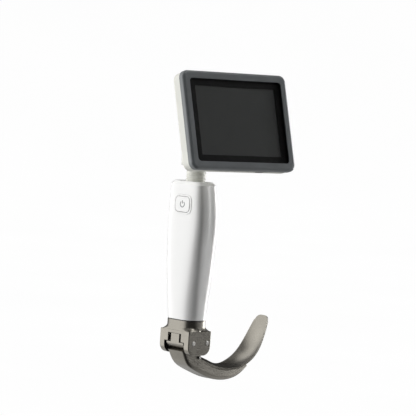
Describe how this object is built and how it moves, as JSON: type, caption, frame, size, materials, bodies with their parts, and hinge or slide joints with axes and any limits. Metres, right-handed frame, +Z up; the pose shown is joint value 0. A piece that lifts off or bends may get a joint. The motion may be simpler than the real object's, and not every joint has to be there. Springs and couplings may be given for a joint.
{
  "type": "video laryngoscope",
  "caption": "Hand-held video laryngoscope with a swivelling, tilting screen, white handle, steel clevis and a hyper-curved steel blade with a camera housing.",
  "frame": {"origin": "middle of the handle's grip, on the axis that the screen swivels about", "axes": "+Z up along the handle to the screen; the button faces -Y, towards the operator; the blade reaches towards +Y; +X is the operator's right"},
  "size_m": [0.0913, 0.1622, 0.2713],
  "materials": {
    "white_shell": "smooth moulded, satin gloss",
    "cream_plastic": "fine textured moulding",
    "grey_bezel": "soft-touch dark grey",
    "glass": "clear cover glass",
    "camera_glass": "clear lens window",
    "black_mask": "printed black border",
    "lcd": "dark display, switched off",
    "blade_steel": "satin warm grey steel",
    "pin_steel": "bright machined steel",
    "sheet_metal": "plain",
    "circuit_board": "green solder mask",
    "black_plastic": "moulded",
    "bush_plastic": "acetal",
    "battery_wrap": "shrink wrap",
    "contact_brass": "plated",
    "seal_rubber": "moulded"
  },
  "bodies": {
    "handle": {"handle_shell": "white_shell", "handle_top_cap": "white_shell", "swivel_bush_upper": "bush_plastic", "swivel_bush_lower": "bush_plastic", "button_surround": "white_shell", "button_switch": "black_plastic", "handle_board": "circuit_board", "handle_chassis": "black_plastic", "battery_cell": "battery_wrap", "battery_contact": "contact_brass", "battery_spring": "pin_steel", "handle_seal": "seal_rubber", "connector_block": "blade_steel", "connector_screws": "pin_steel", "front_pin": "pin_steel", "rear_pin": "pin_steel", "contact_insulator": "black_plastic"},
    "power_button": {"power_button": "white_shell"},
    "contact_pins": {"contact_pins": "contact_brass"},
    "blade": {"blade_root": "blade_steel", "blade_body": "blade_steel", "blade_spatula": "blade_steel", "blade_stud": "pin_steel", "camera_module": "black_plastic", "camera_window": "camera_glass", "camera_light": "camera_glass", "contact_carrier": "black_plastic", "contact_pads": "contact_brass"},
    "swivel_arm": {"neck_sleeve": "cream_plastic", "swivel_shaft": "pin_steel", "swivel_circlip": "pin_steel", "arm_core": "sheet_metal", "arm_left_shell": "cream_plastic", "arm_right_shell": "cream_plastic", "arm_screws": "pin_steel"},
    "screen": {"screen_bezel": "grey_bezel", "cover_glass": "glass", "display_mask": "black_mask", "lcd_panel": "lcd", "backlight_tray": "sheet_metal", "screen_back_cover": "cream_plastic", "back_cover_screws": "pin_steel", "screen_board": "circuit_board", "screen_battery": "battery_wrap", "charging_port": "pin_steel", "side_key_board": "circuit_board", "hinge_bracket": "cream_plastic", "bracket_screws": "pin_steel", "tilt_pin": "pin_steel", "tilt_pin_caps": "cream_plastic", "tilt_washers": "pin_steel"},
    "side_key_1": {"side_key_1": "grey_bezel"},
    "side_key_2": {"side_key_2": "grey_bezel"},
    "side_key_3": {"side_key_3": "grey_bezel"},
    "side_key_4": {"side_key_4": "grey_bezel"}
  },
  "joints": [
    {"name": "screen_swivel", "type": "hinge", "parent": "handle", "child": "swivel_arm", "pos_m": [0, 0, 0.066], "axis": [0, 0, 1], "range_deg": [-219, 51]},
    {"name": "screen_tilt", "type": "hinge", "parent": "swivel_arm", "child": "screen", "pos_m": [0.03529, -0.00371, 0.09012], "axis": [0.1045, 0.9945, 0], "range_deg": [-55, 45]},
    {"name": "power_button", "type": "slide", "parent": "handle", "child": "power_button", "axis": [0, 1, 0], "range_m": [0, 0.0008], "stiffness_N_per_m": 150, "springref_m": -0.002},
    {"name": "contact_pins", "type": "slide", "parent": "handle", "child": "contact_pins", "axis": [0, 0, 1], "range_m": [0, 0.0006], "stiffness_N_per_m": 150, "springref_m": -0.002},
    {"name": "blade_hinge", "type": "hinge", "parent": "handle", "child": "blade", "pos_m": [0, -0.0072, -0.0798], "axis": [-1, 0, 0], "range_deg": [0, 45]},
    {"name": "side_key_1", "type": "slide", "parent": "screen", "child": "side_key_1", "axis": [-0.1045, -0.9945, 0], "range_m": [0, 0.0005], "stiffness_N_per_m": 60, "springref_m": -0.002},
    {"name": "side_key_2", "type": "slide", "parent": "screen", "child": "side_key_2", "axis": [-0.1045, -0.9945, 0], "range_m": [0, 0.0005], "stiffness_N_per_m": 60, "springref_m": -0.002},
    {"name": "side_key_3", "type": "slide", "parent": "screen", "child": "side_key_3", "axis": [-0.1045, -0.9945, 0], "range_m": [0, 0.0005], "stiffness_N_per_m": 60, "springref_m": -0.002},
    {"name": "side_key_4", "type": "slide", "parent": "screen", "child": "side_key_4", "axis": [-0.1045, -0.9945, 0], "range_m": [0, 0.0005], "stiffness_N_per_m": 60, "springref_m": -0.002}
  ]
}
